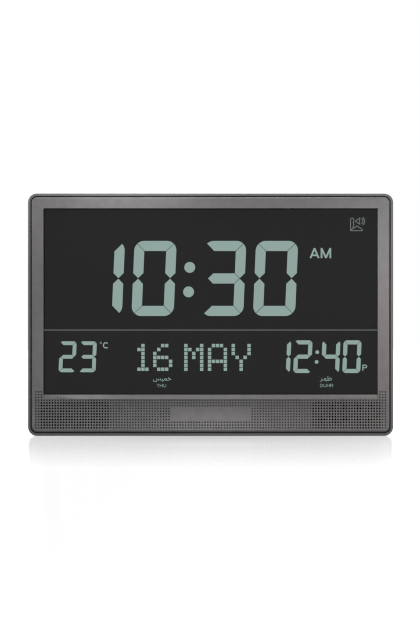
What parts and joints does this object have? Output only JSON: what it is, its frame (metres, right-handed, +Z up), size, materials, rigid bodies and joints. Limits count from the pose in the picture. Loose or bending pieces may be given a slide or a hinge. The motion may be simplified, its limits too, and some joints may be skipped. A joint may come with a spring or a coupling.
{
  "type": "prayer-time clock",
  "caption": "Flat rectangular wall and table clock with a large segment display, a dished perforated band below it, a fold-out leg, a battery door and rear keys.",
  "frame": {"origin": "middle of the case's footprint on the surface that the clock stands on", "axes": "+X to the right of someone who faces the display, +Y from the display to the back, +Z up"},
  "size_m": [0.3398, 0.036, 0.2255],
  "materials": {
    "bezel_paint": "satin paint with fine metallic flake on moulded plastic",
    "case_plastic": "fine-textured dark grey moulding",
    "lens_acrylic": "clear polished sheet",
    "display_glass": "dark glass with pale segments",
    "polariser_film": "dark film",
    "guide_acrylic": "clear sheet with a frosted back",
    "white_film": "white",
    "black_plastic": "black moulding",
    "ribbon_film": "amber film",
    "black_steel": "black coated steel",
    "cone_paper": "pressed paper",
    "foam": "closed-cell foam",
    "acoustic_cloth": "black open cloth",
    "cell_jacket": "plain printed jacket, no lettering",
    "plated_steel": "bright plating",
    "board_laminate": "green solder mask",
    "chip_black": "black moulding compound",
    "key_plastic": "satin moulding",
    "wheel_rubber": "ribbed black moulding",
    "screw_steel": "dark zinc"
  },
  "bodies": {
    "clock": {"front_bezel": "bezel_paint", "window_lens": "lens_acrylic", "front_polariser": "polariser_film", "front_glass": "display_glass", "rear_glass": "display_glass", "rear_polariser": "polariser_film", "light_guide": "guide_acrylic", "reflector_sheet": "white_film", "light_bar": "board_laminate", "light_bar_lamps": "white_film", "display_frame": "black_plastic", "display_ribbon": "ribbon_film", "speaker_frames": "black_steel", "speaker_cones": "cone_paper", "speaker_magnets": "black_steel", "speaker_gaskets": "foam", "speaker_cloths": "acoustic_cloth", "rear_case": "case_plastic", "battery_cells": "cell_jacket", "battery_springs": "plated_steel", "battery_contacts": "plated_steel", "leg_hinge_pin": "plated_steel", "main_board": "board_laminate", "key_switches": "chip_black", "volume_control": "chip_black", "power_socket": "black_plastic", "case_screws": "screw_steel", "frame_screws": "screw_steel", "speaker_screws": "screw_steel", "board_screws": "screw_steel", "processor_chip": "chip_black", "amplifier_chip": "chip_black", "crystal": "plated_steel", "capacitors": "chip_black", "ribbon_socket": "white_film", "temperature_sensor": "chip_black", "lead_headers": "white_film"},
    "leg": {"stand_leg": "case_plastic"},
    "door": {"battery_door": "case_plastic"},
    "wheel": {"volume_wheel": "wheel_rubber"},
    "mode_key_body": {"mode_key": "key_plastic"},
    "set_key_body": {"set_key": "key_plastic"},
    "up_key_body": {"up_key": "key_plastic"},
    "down_key_body": {"down_key": "key_plastic"},
    "alarm_key_body": {"alarm_key": "key_plastic"},
    "light_key_body": {"light_key": "key_plastic"}
  },
  "joints": [
    {"name": "leg_hinge", "type": "hinge", "parent": "clock", "child": "leg", "pos_m": [0, 0.0151, 0.084], "axis": [1, 0, 0], "range_deg": [0, 30]},
    {"name": "door_hinge", "type": "hinge", "parent": "clock", "child": "door", "pos_m": [0.08415, 0.018, 0.05865], "axis": [-1, 0, 0], "range_deg": [0, 75]},
    {"name": "volume_turn", "type": "hinge", "parent": "clock", "child": "wheel", "pos_m": [-0.0499, 0.0076, 0.14805], "axis": [1, 0, 0], "range_deg": [-135, 135]},
    {"name": "mode_key_press", "type": "slide", "parent": "clock", "child": "mode_key_body", "axis": [0, -1, 0], "range_m": [0, 0.0005], "stiffness_N_per_m": 400},
    {"name": "set_key_press", "type": "slide", "parent": "clock", "child": "set_key_body", "axis": [0, -1, 0], "range_m": [0, 0.0005], "stiffness_N_per_m": 400},
    {"name": "up_key_press", "type": "slide", "parent": "clock", "child": "up_key_body", "axis": [0, -1, 0], "range_m": [0, 0.0005], "stiffness_N_per_m": 400},
    {"name": "down_key_press", "type": "slide", "parent": "clock", "child": "down_key_body", "axis": [0, -1, 0], "range_m": [0, 0.0005], "stiffness_N_per_m": 400},
    {"name": "alarm_key_press", "type": "slide", "parent": "clock", "child": "alarm_key_body", "axis": [0, -1, 0], "range_m": [0, 0.0005], "stiffness_N_per_m": 400},
    {"name": "light_key_press", "type": "slide", "parent": "clock", "child": "light_key_body", "axis": [0, -1, 0], "range_m": [0, 0.0005], "stiffness_N_per_m": 400}
  ]
}
